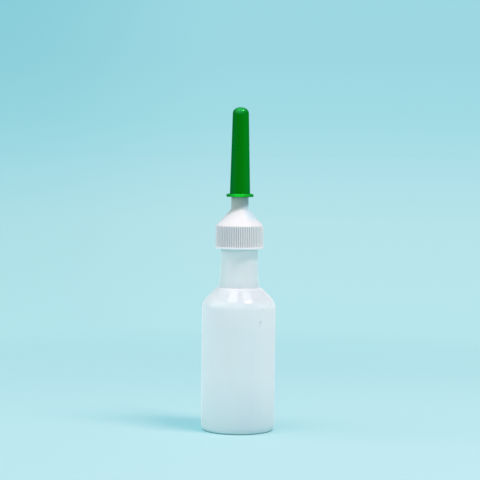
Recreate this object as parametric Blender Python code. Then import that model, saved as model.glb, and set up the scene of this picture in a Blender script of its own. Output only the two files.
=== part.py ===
"""Squeeze bottle with a screw closure, a dosing nozzle and a pull-off tip cover.

Every piece is turned round the Z axis. Each one is drawn as an outline of
(radius, height) points above its own datum, spun into a solid, and then set at
its seat on the piece that carries it. Lengths are in metres, +Z is up, and the
origin is the centre of the foot.
"""

import math

import bmesh
import bpy
from mathutils import Vector

MM = 0.001

# Bottle, blow moulded in soft polyethylene
BODY_RADIUS = 22.5 * MM
BODY_WALL = 0.9 * MM
BASE_WALL = 1.3 * MM
HEEL_WIDTH = 2.3 * MM
HEEL_HEIGHT = 4.7 * MM
FOOT_WIDTH = 2.4 * MM
PUSH_UP = 2.6 * MM
INNER_HEEL_RADIUS = 3.5 * MM
SHOULDER_HEIGHT = 78.1 * MM  # where the side wall and the shoulder cone would meet
SHOULDER_CORNER_RADIUS = 10.0 * MM
SHOULDER_ANGLE = math.radians(44)  # from the axis
SHOULDER_TOP_WIDTH = 1.85 * MM  # the flatter ring at the foot of the neck
SHOULDER_TOP_ANGLE = math.radians(67)
SHOULDER_TOP_RADIUS = 3.0 * MM
NECK_ROOT_RADIUS = 0.7 * MM
NECK_RADIUS = 11.2 * MM
NECK_WALL = 1.6 * MM
NECK_FLARE = 1.25 * MM  # how much wider the neck is at its foot
NECK_FLARE_LENGTH = 19.0 * MM
FINISH_LENGTH = 15.6 * MM  # the straight neck that the closure screws onto
RIM_ROUND = 0.4 * MM

# Seal washer, lying on the rim
WASHER_THICKNESS = 1.0 * MM
WASHER_EDGE_INSET = 0.2 * MM
WASHER_WIDTH = 3.0 * MM

# Nozzle, whose base is clamped by the screw cap
NOZZLE_WALL = 1.2 * MM
NOZZLE_FLANGE_THICKNESS = 1.5 * MM
NOZZLE_FLANGE_WIDTH = 2.2 * MM  # from the valve's recess to the flange's edge
TUBE_BASE_RADIUS = 3.1 * MM
TUBE_TIP_RADIUS = 2.6 * MM
TUBE_BORE_RADIUS = 1.5 * MM
TUBE_LENGTH = 57.6 * MM  # above the cone of its base
TUBE_TIP_HEIGHT = 2.6 * MM  # of the rounded end
OUTLET_RADIUS = 0.9 * MM

# One-way valve, an elastic disc with a slit dome
VALVE_THICKNESS = 1.0 * MM
VALVE_RIM_HOLD = 1.2 * MM  # how far its rim reaches under the nozzle's step
VALVE_DOME_RADIUS = 5.0 * MM
VALVE_DOME_HEIGHT = 4.2 * MM
VALVE_DOME_WALL = 0.8 * MM
SLIT_WIDTH = 0.4 * MM
SLIT_LENGTH = 4.4 * MM

# Screw cap
THREAD_ROOM = 1.3 * MM  # between the neck and the skirt, taken up by the two threads
CAP_WALL = 1.75 * MM
CAP_CONE_WALL = 1.3 * MM
SKIRT_HEIGHT = 13.7 * MM
RIB_COUNT = 68
RIB_HEIGHT = 0.35 * MM
RIB_TIP_SHARE = 0.45  # of the rib pitch
FLUTE_FLOOR_SHARE = 0.27
PLAIN_CONE_INSET = 0.525 * MM  # from the rib tips to the cone above the flutes
BEAD_HEIGHT = 1.25 * MM
BEAD_PROUD = 0.12 * MM
BEAD_ROUND = 0.5 * MM
CONE_ANGLE = math.radians(42.2)  # from the axis
CONE_EDGE_ROUND = 0.3 * MM
SPIGOT_HEIGHT = 7.2 * MM
SPIGOT_ROOT_ROUND = 2.2 * MM
SPIGOT_EDGE_ROUND = 0.25 * MM
LEDGE_WIDTH = 0.46 * MM  # on which the tip cover stands
PLUG_HEIGHT = 4.0 * MM  # reaches into the tip cover

# Tip cover
COVER_BASE_RADIUS = 6.2 * MM
COVER_TOP_RADIUS = 4.92 * MM
COVER_WALL = 1.12 * MM
COVER_DOME_HEIGHT = 4.0 * MM
COVER_HEADROOM = 3.38 * MM  # above the nozzle's tip
COVER_FLANGE_WIDTH = 2.1 * MM
COVER_FLANGE_THICKNESS = 1.8 * MM
COVER_FLANGE_ROUND = 0.6 * MM
COVER_ROOT_ROUND = 0.5 * MM

# Fits
SEAT_GAP = 0.3 * MM  # between two pieces that bear on each other
FLANGE_GAP = 0.4 * MM  # round the nozzle's flange, inside the skirt

# Facets
BODY_SEGMENTS = 48
COVER_SEGMENTS = 32
TUBE_SEGMENTS = 24
SMALL_ROUND = 1.0 * MM  # fillets under this size take coarser facets
SMOOTH_ANGLE = math.radians(35)


def rounded(corners, closed=False):
    """Turns (radius, height, fillet) corners into points, each fillet as an arc."""
    points = []
    count = len(corners)
    for index, (r, z, fillet) in enumerate(corners):
        corner = Vector((r, z))
        is_end = not closed and index in (0, count - 1)
        if is_end or fillet == 0:
            points.append(corner)
            continue
        to_last = Vector(corners[index - 1][:2]) - corner
        to_next = Vector(corners[(index + 1) % count][:2]) - corner
        opening = to_last.angle(to_next)
        turn = math.pi - opening
        room = 0.49 * min(to_last.length, to_next.length)
        reach = min(fillet * math.tan(turn / 2), room)
        radius = reach / math.tan(turn / 2)
        bisector = (to_last.normalized() + to_next.normalized()).normalized()
        centre = corner + bisector * (radius / math.sin(opening / 2))
        start = corner + to_last.normalized() * reach - centre
        side = math.copysign(1, to_last.cross(to_next))
        facet = math.radians(30 if fillet < SMALL_ROUND else 15)
        steps = max(1, math.ceil(turn / facet - 1e-6))
        for step in range(steps + 1):
            angle = side * turn * step / steps
            cosine, sine = math.cos(angle), math.sin(angle)
            arm = Vector(
                (start.x * cosine + start.y * sine, start.y * cosine - start.x * sine)
            )
            points.append(centre + arm)
    return points


def quarter_ellipse(centre_r, centre_z, width, height, steps, first_deg):
    """Points over 90 degrees from first_deg, clockwise, round an upright ellipse."""
    points = []
    for step in range(steps + 1):
        angle = math.radians(first_deg - 90 * step / steps)
        points.append(
            Vector((centre_r + width * math.cos(angle), centre_z + height * math.sin(angle)))
        )
    return points


def dish(edge_radius, edge_height, rise, steps=4):
    """A shallow paraboloid from the axis out to its edge."""
    points = []
    for step in range(steps + 1):
        share = step / steps
        points.append(Vector((edge_radius * share, edge_height + rise * (1 - share**2))))
    return points


def flare(foot_radius, foot_height, top_radius, length, steps=5):
    """A side that leaves the straight neck and widens as the square of the drop."""
    points = []
    for step in range(steps + 1):
        rise = step / steps
        radius = top_radius + (foot_radius - top_radius) * (1 - rise) ** 2
        points.append(Vector((radius, foot_height + length * rise)))
    return points


def inset(corner, angle_before, angle_after, wall):
    """Moves a corner inwards so that both its sides lie one wall further in.

    The angles are those of the two sides, measured from the axis.
    """
    middle = (angle_before + angle_after) / 2
    step = wall / math.cos((angle_after - angle_before) / 2)
    return corner + Vector((-math.cos(middle), -math.sin(middle))) * step


def plastic(name, colour, roughness, transmission=0.0):
    material = bpy.data.materials.new(name)
    material.use_nodes = True
    shader = material.node_tree.nodes["Principled BSDF"]
    shader.inputs["Base Color"].default_value = (*colour, 1)
    shader.inputs["Roughness"].default_value = roughness
    shader.inputs["Metallic"].default_value = 0
    shader.inputs["Transmission Weight"].default_value = transmission
    material.diffuse_color = (*colour, 1)
    return material


def turned(name, outline, segments, material):
    """Spins an outline round the Z axis into one closed solid."""
    shape = bmesh.new()
    ring = [shape.verts.new((point.x, 0, point.y)) for point in outline]
    ends_on_axis = outline[0].x == 0 and outline[-1].x == 0
    pairs = list(zip(ring, ring[1:]))
    if not ends_on_axis:
        pairs.append((ring[-1], ring[0]))
    edges = [shape.edges.new(pair) for pair in pairs]
    bmesh.ops.spin(
        shape,
        geom=ring + edges,
        cent=(0, 0, 0),
        axis=(0, 0, 1),
        angle=math.tau,
        steps=segments,
        use_merge=True,
    )
    bmesh.ops.remove_doubles(shape, verts=shape.verts, dist=0.001 * MM)
    bmesh.ops.recalc_face_normals(shape, faces=shape.faces)
    return finished(name, shape, material)


def shade_round(mesh):
    mesh.shade_smooth()
    mesh.set_sharp_from_angle(angle=SMOOTH_ANGLE)


def finished(name, shape, material):
    mesh = bpy.data.meshes.new(name)
    shape.to_mesh(mesh)
    shape.free()
    mesh.materials.append(material)
    shade_round(mesh)
    item = bpy.data.objects.new(name, mesh)
    bpy.context.scene.collection.objects.link(item)
    return item


def prism(shape, section, low, high):
    """Adds an upright prism over a section of (x, y) points given anticlockwise."""
    floor = [shape.verts.new((x, y, low)) for x, y in section]
    roof = [shape.verts.new((x, y, high)) for x, y in section]
    shape.faces.new(reversed(floor))
    shape.faces.new(roof)
    for index, corner in enumerate(floor):
        after = (index + 1) % len(section)
        shape.faces.new((corner, floor[after], roof[after], roof[index]))


def cut(item, tool):
    """Cuts a tool's shape out of an item whose origin it shares, and removes the tool."""
    modifier = item.modifiers.new(tool.name, "BOOLEAN")
    modifier.operation = "DIFFERENCE"
    modifier.solver = "EXACT"
    modifier.object = tool
    graph = bpy.context.evaluated_depsgraph_get()
    blank = item.data
    item.data = bpy.data.meshes.new_from_object(item.evaluated_get(graph))
    item.data.name = item.name
    item.modifiers.clear()
    shade_round(item.data)
    bpy.data.meshes.remove(blank)
    bpy.data.objects.remove(tool)


def seated(item, carrier, height):
    """Sets an item on the axis at a height above the origin, carried by another."""
    carrier_height = 0
    above = carrier
    while above:
        carrier_height += above.location.z
        above = above.parent
    item.parent = carrier
    item.location = (0, 0, height - carrier_height)


def joint_axis(name, carrier, height):
    """An empty on the axis that a moving piece hangs from."""
    empty = bpy.data.objects.new(name, None)
    empty.empty_display_type = "SINGLE_ARROW"
    empty.empty_display_size = 10 * MM
    bpy.context.scene.collection.objects.link(empty)
    seated(empty, carrier, height)
    return empty


# Bottle


def shoulder_corners(wall):
    """The three corners from the side wall to the neck, one wall further in."""
    top_width_radius = NECK_RADIUS + NECK_FLARE + SHOULDER_TOP_WIDTH
    edge = Vector((BODY_RADIUS, SHOULDER_HEIGHT))
    cone_rise = (BODY_RADIUS - top_width_radius) / math.tan(SHOULDER_ANGLE)
    turn = edge + Vector((top_width_radius - BODY_RADIUS, cone_rise))
    edge = inset(edge, 0, SHOULDER_ANGLE, wall)
    turn = inset(turn, SHOULDER_ANGLE, SHOULDER_TOP_ANGLE, wall)
    root_radius = NECK_RADIUS + NECK_FLARE - wall
    root_rise = (turn.x - root_radius) / math.tan(SHOULDER_TOP_ANGLE)
    return edge, turn, Vector((root_radius, turn.y + root_rise))


def shoulder_and_neck(wall, neck_wall):
    """The side from the shoulder up to the rim, as (radius, height, fillet) corners."""
    edge, turn, root = shoulder_corners(wall)
    neck_radius = NECK_RADIUS - neck_wall
    foot = shoulder_corners(0)[2].y
    flare_length = foot + NECK_FLARE_LENGTH - root.y
    side = flare(root.x, root.y, neck_radius, flare_length)
    corners = [
        (*edge, SHOULDER_CORNER_RADIUS - wall),
        (*turn, SHOULDER_TOP_RADIUS - wall),
        (*side[0], NECK_ROOT_RADIUS + wall),
    ]
    corners += [(*point, 0) for point in side[1:]]
    corners.append((neck_radius, rim_height(), RIM_ROUND))
    return corners


def rim_height():
    return shoulder_corners(0)[2].y + NECK_FLARE_LENGTH + FINISH_LENGTH


def make_bottle():
    foot_radius = BODY_RADIUS - HEEL_WIDTH
    dish_radius = foot_radius - FOOT_WIDTH
    inner = [(*point, 0) for point in dish(dish_radius, BASE_WALL, PUSH_UP)]
    inner.append((BODY_RADIUS - BODY_WALL, BASE_WALL, INNER_HEEL_RADIUS))
    inner += shoulder_and_neck(BODY_WALL, NECK_WALL)
    outer = shoulder_and_neck(0, 0)[::-1]
    outer.append((BODY_RADIUS, HEEL_HEIGHT, 0))
    outline = rounded(inner + outer)
    outline += quarter_ellipse(
        foot_radius, HEEL_HEIGHT, HEEL_WIDTH, HEEL_HEIGHT, steps=6, first_deg=0
    )[1:]
    outline += dish(dish_radius, 0, PUSH_UP)[::-1]
    milky = plastic("milky_polyethylene", (0.80, 0.87, 0.89), 0.38, transmission=0.35)
    return turned("bottle", outline, BODY_SEGMENTS, milky)


# Seal washer


def make_seal_washer():
    outer_radius = NECK_RADIUS - WASHER_EDGE_INSET
    inner_radius = outer_radius - WASHER_WIDTH
    outline = rounded(
        [
            (outer_radius, WASHER_THICKNESS, 0),
            (outer_radius, 0, 0),
            (inner_radius, 0, 0),
            (inner_radius, WASHER_THICKNESS, 0),
        ],
        closed=True,
    )
    foam = plastic("washer_foam", (0.86, 0.87, 0.85), 0.8)
    return turned("seal_washer", outline, BODY_SEGMENTS, foam)


# Nozzle and its valve


def cone_rise(from_radius, to_radius):
    """The climb of the closure's cones between two radii."""
    return (from_radius - to_radius) / math.tan(CONE_ANGLE)


def skirt_inner_radius():
    return NECK_RADIUS + THREAD_ROOM


def nozzle_flange_radius():
    return skirt_inner_radius() - FLANGE_GAP


def valve_recess_radius():
    return nozzle_flange_radius() - NOZZLE_FLANGE_WIDTH


def valve_recess_depth():
    return VALVE_THICKNESS + SEAT_GAP


def nozzle_cone_top():
    return NOZZLE_FLANGE_THICKNESS + cone_rise(nozzle_flange_radius(), TUBE_BASE_RADIUS)


def nozzle_tip():
    return nozzle_cone_top() + TUBE_LENGTH


def make_nozzle():
    taper_start = nozzle_cone_top() + SPIGOT_HEIGHT + PLUG_HEIGHT
    throat_radius = valve_recess_radius() - VALVE_RIM_HOLD
    wall_across = NOZZLE_WALL / math.cos(CONE_ANGLE)
    inner_cone_base = nozzle_flange_radius() - wall_across
    throat_top = NOZZLE_FLANGE_THICKNESS + cone_rise(inner_cone_base, throat_radius)
    bore_start = NOZZLE_FLANGE_THICKNESS + cone_rise(inner_cone_base, TUBE_BORE_RADIUS)
    bore_end = nozzle_tip() - TUBE_TIP_HEIGHT
    outlet_start = bore_end + TUBE_BORE_RADIUS - OUTLET_RADIUS
    outline = quarter_ellipse(
        OUTLET_RADIUS,
        bore_end,
        TUBE_TIP_RADIUS - OUTLET_RADIUS,
        TUBE_TIP_HEIGHT,
        steps=5,
        first_deg=90,
    )
    outline += rounded(
        [
            (TUBE_BASE_RADIUS, taper_start, 0),
            (TUBE_BASE_RADIUS, nozzle_cone_top(), 0),
            (nozzle_flange_radius(), NOZZLE_FLANGE_THICKNESS, 0),
            (nozzle_flange_radius(), 0, 0),
            (valve_recess_radius(), 0, 0),
            (valve_recess_radius(), valve_recess_depth(), 0),
            (throat_radius, valve_recess_depth(), 0),
            (throat_radius, throat_top, 0),
            (TUBE_BORE_RADIUS, bore_start, 0),
            (TUBE_BORE_RADIUS, bore_end, 0),
            (OUTLET_RADIUS, outlet_start, 0),
        ]
    )
    white = plastic("nozzle_plastic", (0.88, 0.91, 0.91), 0.3, transmission=0.15)
    return turned("nozzle", outline, TUBE_SEGMENTS, white)


def make_valve():
    rim_radius = valve_recess_radius() - SEAT_GAP
    outline = quarter_ellipse(
        0, VALVE_THICKNESS, VALVE_DOME_RADIUS, VALVE_DOME_HEIGHT, steps=5, first_deg=90
    )
    outline[0].x = 0
    outline += [
        Vector((rim_radius, VALVE_THICKNESS)),
        Vector((rim_radius, 0)),
        Vector((VALVE_DOME_RADIUS - VALVE_DOME_WALL, 0)),
    ]
    inside = quarter_ellipse(
        0,
        VALVE_THICKNESS,
        VALVE_DOME_RADIUS - VALVE_DOME_WALL,
        VALVE_DOME_HEIGHT - VALVE_DOME_WALL,
        steps=5,
        first_deg=90,
    )[::-1]
    inside[-1].x = 0
    outline += inside
    rubber = plastic("valve_rubber", (0.72, 0.66, 0.52), 0.6)
    valve = turned("valve", outline, TUBE_SEGMENTS, rubber)

    blade = bmesh.new()
    half_length, half_width = SLIT_LENGTH / 2, SLIT_WIDTH / 2
    section = [
        (-half_length, -half_width),
        (half_length, -half_width),
        (half_length, half_width),
        (-half_length, half_width),
    ]
    dome_top = VALVE_THICKNESS + VALVE_DOME_HEIGHT
    prism(blade, section, VALVE_THICKNESS, dome_top + VALVE_DOME_WALL)
    cut(valve, finished("slit_blade", blade, rubber))
    return valve


# Screw cap


def rib_tip_radius():
    return skirt_inner_radius() + CAP_WALL + RIB_HEIGHT


def cover_radius(height):
    """The tip cover's tapered outside, at a height above its foot."""
    share = height / (cover_length() - COVER_DOME_HEIGHT)
    return COVER_BASE_RADIUS + (COVER_TOP_RADIUS - COVER_BASE_RADIUS) * share


def plug_radius(height):
    """The plug stays one seat gap inside the tip cover's wall."""
    return cover_radius(height) - COVER_WALL - SEAT_GAP


def spigot_radius():
    return COVER_BASE_RADIUS - COVER_WALL - SEAT_GAP + LEDGE_WIDTH


def cap_ledge():
    return SKIRT_HEIGHT + cone_rise(rib_tip_radius(), spigot_radius()) + SPIGOT_HEIGHT


def inner_cone_radius():
    """Where the inside of the cap's cone would reach the level of the skirt's top."""
    return rib_tip_radius() - CAP_CONE_WALL / math.cos(CONE_ANGLE)


def nozzle_seat_in_cap():
    """The height of the nozzle's datum above the cap's, one seat gap under its cone."""
    gap_across = SEAT_GAP / math.cos(CONE_ANGLE)
    nozzle_cone_radius = inner_cone_radius() - gap_across
    flange_edge = SKIRT_HEIGHT + cone_rise(nozzle_cone_radius, nozzle_flange_radius())
    return flange_edge - NOZZLE_FLANGE_THICKNESS


def flute_top():
    """Where the flutes run out on the cone."""
    return SKIRT_HEIGHT + cone_rise(rib_tip_radius(), rib_tip_radius() - RIB_HEIGHT)


def flute_cutter(material):
    """One prism for each gap between two ribs, wider at its mouth than at its floor."""
    tool = bmesh.new()
    pitch = math.tau / RIB_COUNT
    floor_radius = rib_tip_radius() - RIB_HEIGHT
    mouth_radius = rib_tip_radius() + RIB_HEIGHT
    floor_half = FLUTE_FLOOR_SHARE * pitch / 2
    mouth_half = floor_half + 2 * ((1 - RIB_TIP_SHARE) * pitch / 2 - floor_half)
    for index in range(RIB_COUNT):
        middle = index * pitch
        section = [
            (radius * math.cos(angle), radius * math.sin(angle))
            for radius, angle in (
                (floor_radius, middle - floor_half),
                (mouth_radius, middle - mouth_half),
                (mouth_radius, middle + mouth_half),
                (floor_radius, middle + floor_half),
            )
        ]
        prism(tool, section, BEAD_HEIGHT, flute_top() + RIB_HEIGHT)
    return finished("flute_cutter", tool, material)


def make_screw_cap():
    bore_radius = TUBE_BASE_RADIUS + SEAT_GAP
    ledge = cap_ledge()
    tip_radius = rib_tip_radius()
    bead_radius = tip_radius + BEAD_PROUD
    inner_edge = SKIRT_HEIGHT + cone_rise(inner_cone_radius(), skirt_inner_radius())
    bore_foot = SKIRT_HEIGHT + cone_rise(inner_cone_radius(), bore_radius)
    plain_cone_radius = tip_radius - PLAIN_CONE_INSET
    plain_cone_foot = SKIRT_HEIGHT + cone_rise(tip_radius, plain_cone_radius)
    outline = rounded(
        [
            (bore_radius, ledge + PLUG_HEIGHT, 0),
            (plug_radius(PLUG_HEIGHT), ledge + PLUG_HEIGHT, SPIGOT_EDGE_ROUND),
            (plug_radius(0), ledge, 0),
            (spigot_radius(), ledge, SPIGOT_EDGE_ROUND),
            (spigot_radius(), ledge - SPIGOT_HEIGHT, SPIGOT_ROOT_ROUND),
            (plain_cone_radius, plain_cone_foot, 0),
            (tip_radius, SKIRT_HEIGHT, CONE_EDGE_ROUND),
            (tip_radius, BEAD_HEIGHT, 0),
            (bead_radius, BEAD_HEIGHT, 0),
            (bead_radius, 0, BEAD_ROUND),
            (skirt_inner_radius(), 0, 0),
            (skirt_inner_radius(), inner_edge, 0),
            (bore_radius, bore_foot, 0),
        ],
        closed=True,
    )
    white = plastic("cap_plastic", (0.88, 0.91, 0.92), 0.35)
    cap = turned("screw_cap", outline, RIB_COUNT, white)
    cut(cap, flute_cutter(white))
    return cap


# Tip cover


def cover_length():
    """From the foot of the cover, on the cap's ledge, to the top of its dome."""
    tip_above_ledge = nozzle_seat_in_cap() + nozzle_tip() - cap_ledge()
    return tip_above_ledge - SEAT_GAP + COVER_HEADROOM + COVER_WALL


def make_tip_cover():
    length = cover_length()
    dome_base = length - COVER_DOME_HEIGHT
    flange_radius = COVER_BASE_RADIUS + COVER_FLANGE_WIDTH
    outline = quarter_ellipse(
        0, dome_base, COVER_TOP_RADIUS, COVER_DOME_HEIGHT, steps=7, first_deg=90
    )
    outline[0].x = 0
    outline += rounded(
        [
            (*outline.pop(), 0),
            (cover_radius(COVER_FLANGE_THICKNESS), COVER_FLANGE_THICKNESS, COVER_ROOT_ROUND),
            (flange_radius, COVER_FLANGE_THICKNESS, COVER_FLANGE_ROUND),
            (flange_radius, 0, COVER_FLANGE_ROUND),
            (cover_radius(0) - COVER_WALL, 0, 0),
        ]
    )
    inside = quarter_ellipse(
        0,
        dome_base,
        COVER_TOP_RADIUS - COVER_WALL,
        COVER_DOME_HEIGHT - COVER_WALL,
        steps=5,
        first_deg=90,
    )[::-1]
    inside[-1].x = 0
    outline += inside
    green = plastic("cover_green", (0.0, 0.22, 0.015), 0.28)
    return turned("tip_cover", outline, COVER_SEGMENTS, green)


def build():
    for item in list(bpy.data.objects):
        bpy.data.objects.remove(item, do_unlink=True)

    bottle = make_bottle()

    washer_height = rim_height() + SEAT_GAP
    nozzle_height = washer_height + WASHER_THICKNESS + SEAT_GAP
    cap_height = nozzle_height - nozzle_seat_in_cap()
    cover_height = cap_height + cap_ledge() + SEAT_GAP

    lift = joint_axis("closure_lift_axis", bottle, washer_height)
    rise = joint_axis("closure_rise_axis", lift, nozzle_height)
    turn = joint_axis("cap_turn_axis", rise, cap_height)
    pull = joint_axis("cover_pull_axis", turn, cover_height)

    seated(make_seal_washer(), lift, washer_height)
    seated(make_nozzle(), rise, nozzle_height)
    seated(make_valve(), rise, nozzle_height)
    seated(make_screw_cap(), turn, cap_height)
    seated(make_tip_cover(), pull, cover_height)


build()
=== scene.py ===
import math

import bpy
import numpy as np
from mathutils import Matrix, Vector


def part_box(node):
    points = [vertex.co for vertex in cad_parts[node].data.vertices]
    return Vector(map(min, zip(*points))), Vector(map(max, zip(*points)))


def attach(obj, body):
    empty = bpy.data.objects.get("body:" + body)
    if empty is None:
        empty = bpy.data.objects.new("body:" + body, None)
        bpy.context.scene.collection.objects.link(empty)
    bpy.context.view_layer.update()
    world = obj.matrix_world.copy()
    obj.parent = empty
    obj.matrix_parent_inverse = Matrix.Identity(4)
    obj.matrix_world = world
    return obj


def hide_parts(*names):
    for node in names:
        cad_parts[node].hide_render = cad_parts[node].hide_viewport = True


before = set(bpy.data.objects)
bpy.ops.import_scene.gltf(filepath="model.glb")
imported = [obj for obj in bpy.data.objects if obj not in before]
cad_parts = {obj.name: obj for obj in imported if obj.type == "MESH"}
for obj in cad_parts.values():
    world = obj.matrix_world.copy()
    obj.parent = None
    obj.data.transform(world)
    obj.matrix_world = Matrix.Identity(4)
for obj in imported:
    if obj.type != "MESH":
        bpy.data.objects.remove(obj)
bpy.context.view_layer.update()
print("frame loaded:", sorted(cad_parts))

mm = 0.001
tau = 2 * math.pi
crispDeg = 50  # faces that meet at a greater angle keep a crisp edge


# Curves in the (radius, height) plane

def arc(centre, across, up, fromDeg, toDeg, steps):
    # centre + (across cos a, up sin a), with a running evenly between the two angles
    a = np.radians(np.linspace(fromDeg, toDeg, steps + 1))
    return np.column_stack([centre[0] + across * np.cos(a), centre[1] + up * np.sin(a)])


def line(start, end, steps):
    # start + share (end - start), without the last point
    share = np.arange(steps)[:, None] / steps
    return np.array(start) + share * (np.array(end) - np.array(start))


def filleted(corners, steps=6):
    # Straight sides through (radius, height, fillet) corners. With half the angle between two
    # sides, a fillet's centre lies fillet / sin(half) from the corner along the bisector, and
    # its arc meets both sides fillet / tan(half) from the corner.
    pieces = [np.array([corners[0][:2]])]
    for before, here, after in zip(corners, corners[1:], corners[2:]):
        corner = np.array(here[:2])
        if here[2] == 0:
            pieces.append(corner[None])
            continue
        toBefore, toAfter = np.array(before[:2]) - corner, np.array(after[:2]) - corner
        toBefore, toAfter = toBefore / np.hypot(*toBefore), toAfter / np.hypot(*toAfter)
        half = math.acos(np.clip(toBefore @ toAfter, -1, 1)) / 2
        bisector = (toBefore + toAfter) / np.hypot(*(toBefore + toAfter))
        centre = corner + bisector * here[2] / math.sin(half)
        start = corner + toBefore * here[2] / math.tan(half) - centre
        end = corner + toAfter * here[2] / math.tan(half) - centre
        turn = math.atan2(start[0] * end[1] - start[1] * end[0], start @ end)
        a = np.linspace(0, turn, steps + 1)
        x = start[0] * np.cos(a) - start[1] * np.sin(a)
        y = start[0] * np.sin(a) + start[1] * np.cos(a)
        pieces.append(centre + np.column_stack([x, y]))
    pieces.append(np.array([corners[-1][:2]]))
    return np.vstack(pieces)


def divided(profile, fromHeight, toHeight, step):
    # The same curve, with its long sides between the two heights cut into equal steps
    pieces = []
    for start, end in zip(profile, profile[1:]):
        middle = (start[1] + end[1]) / 2
        inside = fromHeight < middle < toHeight
        count = max(1, round(np.hypot(*(end - start)) / step)) if inside else 1
        pieces.append(line(start, end, count))
    pieces.append(profile[-1:])
    return np.vstack(pieces)


# Surfaces

def turnedSurface(name, profile, angles, form=None):
    # Point (i, j) = (r_i cos t_j, r_i sin t_j, z_i), where form(t, r, z) may first change r and z.
    # A profile runs with the open air on its right, as up an outer wall. One that starts and
    # ends on the axis closes there with fans of triangles, and any other closes on itself.
    onAxis = profile[0, 0] < 1e-9
    rings = profile[1:-1] if onAxis else profile
    t = angles[None, :] + 0 * rings[:, :1]
    r, z = rings[:, :1] + 0 * t, rings[:, 1:] + 0 * t
    if form:
        r, z = form(t, r, z)
    points = np.stack([r * np.cos(t), r * np.sin(t), z], -1).reshape(-1, 3)
    rows, columns = t.shape
    i = np.arange(rows - 1 if onAxis else rows)[:, None]
    j = np.arange(columns)[None, :]
    nextI, nextJ = (i + 1) % rows, (j + 1) % columns
    quads = np.stack(
        [i * columns + j, i * columns + nextJ, nextI * columns + nextJ, nextI * columns + j], -1
    ).reshape(-1, 4)
    faces = quads.tolist()
    if onAxis:
        ends = np.array([[0, 0, profile[0, 1]], [0, 0, profile[-1, 1]]])
        if form:
            ends[:, 2:] = form(0 * ends[:, :1], ends[:, :1], ends[:, 2:])[1]
        points = np.vstack([points, ends])
        first, last = len(points) - 2, len(points) - 1
        ring, after = np.arange(columns), (np.arange(columns) + 1) % columns
        top = (rows - 1) * columns
        faces += np.stack([ring * 0 + first, after, ring], -1).tolist()
        faces += np.stack([top + ring, top + after, ring * 0 + last], -1).tolist()
    mesh = bpy.data.meshes.new(name)
    mesh.from_pydata(points.tolist(), [], faces)
    mesh.validate()
    mesh.shade_smooth()
    mesh.set_sharp_from_angle(angle=math.radians(crispDeg))
    piece = bpy.data.objects.new(name, mesh)
    bpy.context.scene.collection.objects.link(piece)
    print("made", name, len(points), "points")
    return piece


def evenAngles(count):
    # Angle j = j / count of a turn
    return np.arange(count) * tau / count


def anglesWithSeam(count, seamWidth):
    # Even angles, with a few more close to the mould's parting plane at 0 and half a turn
    near = np.array([-2, -1, -0.5, 0, 0.5, 1, 2]) * seamWidth
    return np.unique(np.concatenate([evenAngles(count), near % tau, (math.pi + near) % tau]).round(9))


def smooth(x):
    # 3x^2 - 2x^3 between 0 and 1
    x = np.clip(x, 0, 1)
    return x * x * (3 - 2 * x)


def partingLine(t, width):
    # A bell over the sine of the angle, so it stands at 0 and at half a turn
    return np.exp(-((np.sin(t) / width) ** 2))


def threadRidge(t, z, screw):
    # A ridge whose middle climbs one pitch a turn: full within half its crest, then falling
    # straight to nothing at half its foot. It fades in and out over the first and last parts.
    rise = np.zeros_like(z)
    for turn in range(math.ceil(screw["turns"])):
        along = t / tau + turn
        middle = screw["start"] + screw["pitch"] * along
        away = np.abs(z - middle)
        side = (screw["foot"] / 2 - away) / (screw["foot"] / 2 - screw["crest"] / 2)
        fade = smooth(along / screw["fade"]) * smooth((screw["turns"] - along) / screw["fade"])
        rise = np.maximum(rise, np.clip(side, 0, 1) * fade)
    return screw["height"] * rise


# Finishes

def feed(tree, socket, value):
    # A socket takes another node's output, or a plain number or colour
    if isinstance(value, bpy.types.NodeSocket):
        tree.links.new(value, socket)
    else:
        socket.default_value = value


def worked(tree, operation, *values):
    # One step of arithmetic on numbers
    node = tree.nodes.new("ShaderNodeMath")
    node.operation = operation
    for socket, value in zip(node.inputs, values):
        feed(tree, socket, value)
    return node.outputs[0]


def vectorWorked(tree, operation, *values):
    # The same on places and colours. A distance or a dot product comes out as a number.
    node = tree.nodes.new("ShaderNodeVectorMath")
    node.operation = operation
    for socket, value in zip(node.inputs, values):
        feed(tree, socket, value)
    return node.outputs["Value" if operation in ("DISTANCE", "DOT_PRODUCT") else "Vector"]


def ranged(tree, value, fromLow, fromHigh, toLow=0.0, toHigh=1.0):
    # From toLow to toHigh along 3x^2 - 2x^3, while the value goes from fromLow to fromHigh
    node = tree.nodes.new("ShaderNodeMapRange")
    node.interpolation_type = "SMOOTHSTEP"
    for socket, number in zip(node.inputs[1:5], (fromLow, fromHigh, toLow, toHigh)):
        socket.default_value = number
    feed(tree, node.inputs["Value"], value)
    return node.outputs[0]


def ramp(tree, value, tones):
    # A colour for every value from 0 to 1, running straight between the given ones
    node = tree.nodes.new("ShaderNodeValToRGB")
    band = node.color_ramp
    while len(band.elements) < len(tones):
        band.elements.new(0.5)
    for element, (place, colour) in zip(band.elements, tones):
        element.position = place
        element.color = (*colour, 1)
    feed(tree, node.inputs[0], value)
    return node.outputs[0]


def blended(tree, share, a, b, mode="MIX"):
    # Colour b laid over colour a, or multiplied into it, in the given share
    node = tree.nodes.new("ShaderNodeMix")
    node.data_type, node.blend_type = "RGBA", mode
    feed(tree, node.inputs["Factor"], share)
    for socket, colour in zip(node.inputs[6:8], (a, b)):
        feed(tree, socket, colour if isinstance(colour, bpy.types.NodeSocket) else (*colour, 1))
    return node.outputs[2]


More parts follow.
